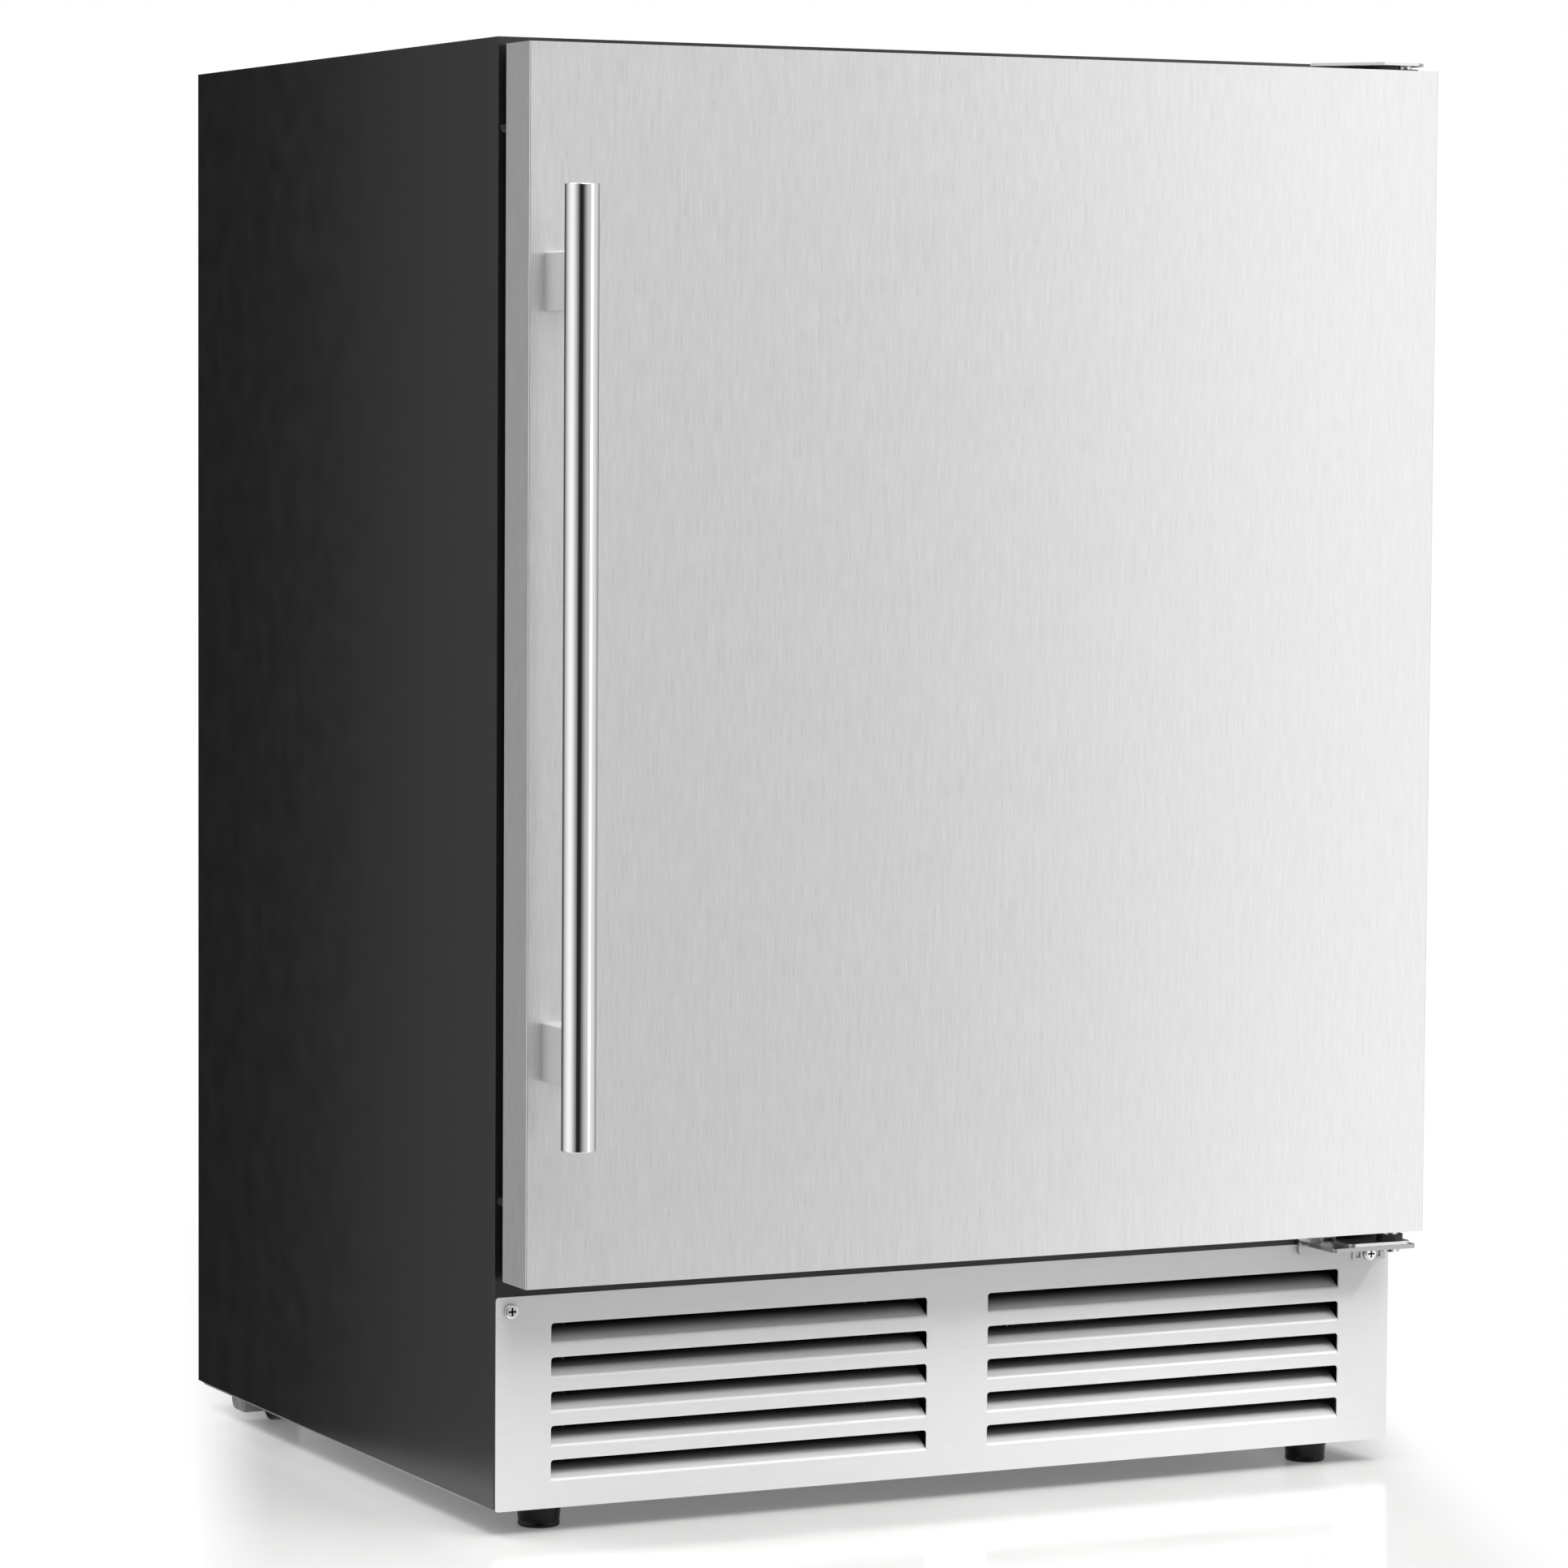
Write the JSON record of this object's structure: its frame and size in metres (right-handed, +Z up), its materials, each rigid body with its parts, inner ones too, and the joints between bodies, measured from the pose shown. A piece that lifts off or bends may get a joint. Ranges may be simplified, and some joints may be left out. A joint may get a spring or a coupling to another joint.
{
  "type": "undercounter refrigerator",
  "caption": "Undercounter refrigerator with a black cabinet, a brushed steel door with a tubular handle, a louvred front grille, levelling feet, rear rollers and wire shelves.",
  "frame": {"origin": "on the floor, under the middle of the whole refrigerator's bounding box, handle included", "axes": "+Z up, the door and grille face -Y, +X to the right as seen from the front, hinge side at +X"},
  "size_m": [0.595, 0.5684, 0.8531],
  "materials": {
    "cabinet_black": "matte",
    "rail_black": "satin",
    "door_steel": "satin",
    "grille_steel": "satin",
    "handle_polished": "polished",
    "post_satin": "satin",
    "screw_bright": "polished",
    "galvanised": "satin",
    "liner_white": "satin",
    "gasket_black": "matte",
    "foam": "matte",
    "foot_black": "satin",
    "plastic_black": "matte",
    "plastic_white": "satin",
    "rubber_black": "matte",
    "copper": "satin",
    "compressor_black": "gloss",
    "fin_aluminium": "satin",
    "shelf_wire": "polished",
    "hinge_silver": "satin",
    "hinge_grey": "satin",
    "display_dark": "gloss",
    "lamp_white": "satin"
  },
  "bodies": {
    "cabinet": {"side_panel_left": "cabinet_black", "side_panel_right": "cabinet_black", "top_panel": "cabinet_black", "front_rail": "rail_black", "rear_panel": "galvanised", "compressor_cover": "galvanised", "base_plate": "galvanised", "bay_deck": "galvanised", "cabinet_foam": "foam", "inner_liner": "liner_white", "hole_plugs": "screw_bright", "grille": "grille_steel", "grille_screws": "screw_bright", "panel_screws": "screw_bright", "grille_brackets": "galvanised", "roller_brackets": "galvanised", "roller_axles": "screw_bright", "hinge_top_bracket": "hinge_silver", "hinge_top_pin": "screw_bright", "hinge_bottom_bracket": "hinge_grey", "hinge_bottom_pin": "screw_bright", "hinge_stop_plate": "hinge_silver", "hinge_spacer": "plastic_black", "hinge_screws": "screw_bright", "compressor": "compressor_black", "compressor_grommets": "rubber_black", "compressor_bolts": "screw_bright", "terminal_cover": "plastic_black", "condenser_fins": "compressor_black", "condenser_tube": "compressor_black", "fan_shroud": "galvanised", "condenser_fan_motor": "compressor_black", "drain_tube": "plastic_black", "drain_pan": "plastic_black", "refrigerant_lines": "copper", "cord_gland": "plastic_black", "evaporator_coil": "fin_aluminium", "evaporator_cover": "plastic_white", "evaporator_fan_motor": "compressor_black", "control_housing": "plastic_white", "control_display": "display_dark", "led_light": "lamp_white"},
    "door": {"door_skin": "door_steel", "door_liner": "liner_white", "door_gasket": "gasket_black", "door_foam": "foam", "door_bushes": "plastic_black", "handle_tube": "handle_polished", "handle_standoffs": "post_satin", "handle_screws": "screw_bright"},
    "foot_left": {"foot_left": "foot_black"},
    "foot_right": {"foot_right": "foot_black"},
    "roller_left": {"roller_left": "foot_black"},
    "roller_right": {"roller_right": "foot_black"},
    "condenser_fan": {"condenser_fan": "plastic_black"},
    "evaporator_fan": {"evaporator_fan": "plastic_black"},
    "shelf_lower": {"shelf_lower": "shelf_wire"},
    "shelf_upper": {"shelf_upper": "shelf_wire"},
    "button_colder": {"button_colder": "plastic_black"},
    "button_warmer": {"button_warmer": "plastic_black"}
  },
  "joints": [
    {"name": "door_hinge", "type": "hinge", "parent": "cabinet", "child": "door", "pos_m": [0.284, -0.2216, 0.5], "axis": [0, 0, 1], "range_deg": [0, 115]},
    {"name": "foot_left_thread", "type": "slide", "parent": "cabinet", "child": "foot_left", "axis": [0, 0, -1], "range_m": [0, 0.012]},
    {"name": "foot_right_thread", "type": "slide", "parent": "cabinet", "child": "foot_right", "axis": [0, 0, -1], "range_m": [0, 0.012]},
    {"name": "roller_left_spin", "type": "hinge", "parent": "cabinet", "child": "roller_left", "pos_m": [-0.27, 0.2159, 0.013], "axis": [1, 0, 0], "continuous": true},
    {"name": "roller_right_spin", "type": "hinge", "parent": "cabinet", "child": "roller_right", "pos_m": [0.27, 0.2159, 0.013], "axis": [1, 0, 0], "continuous": true},
    {"name": "condenser_fan_spin", "type": "hinge", "parent": "cabinet", "child": "condenser_fan", "pos_m": [-0.14, -0.0931, 0.077], "axis": [0, 1, 0], "continuous": true},
    {"name": "evaporator_fan_spin", "type": "hinge", "parent": "cabinet", "child": "evaporator_fan", "pos_m": [0.12, 0.2029, 0.68], "axis": [0, 1, 0], "continuous": true},
    {"name": "shelf_lower_slide", "type": "slide", "parent": "cabinet", "child": "shelf_lower", "axis": [0, -1, 0], "range_m": [0, 0.03]},
    {"name": "shelf_upper_slide", "type": "slide", "parent": "cabinet", "child": "shelf_upper", "axis": [0, -1, 0], "range_m": [0, 0.03]},
    {"name": "button_colder_press", "type": "slide", "parent": "cabinet", "child": "button_colder", "axis": [0, 1, 0], "range_m": [0, 0.0012], "stiffness_N_per_m": 600, "springref_m": -0.0008},
    {"name": "button_warmer_press", "type": "slide", "parent": "cabinet", "child": "button_warmer", "axis": [0, 1, 0], "range_m": [0, 0.0012], "stiffness_N_per_m": 600, "springref_m": -0.0008}
  ]
}
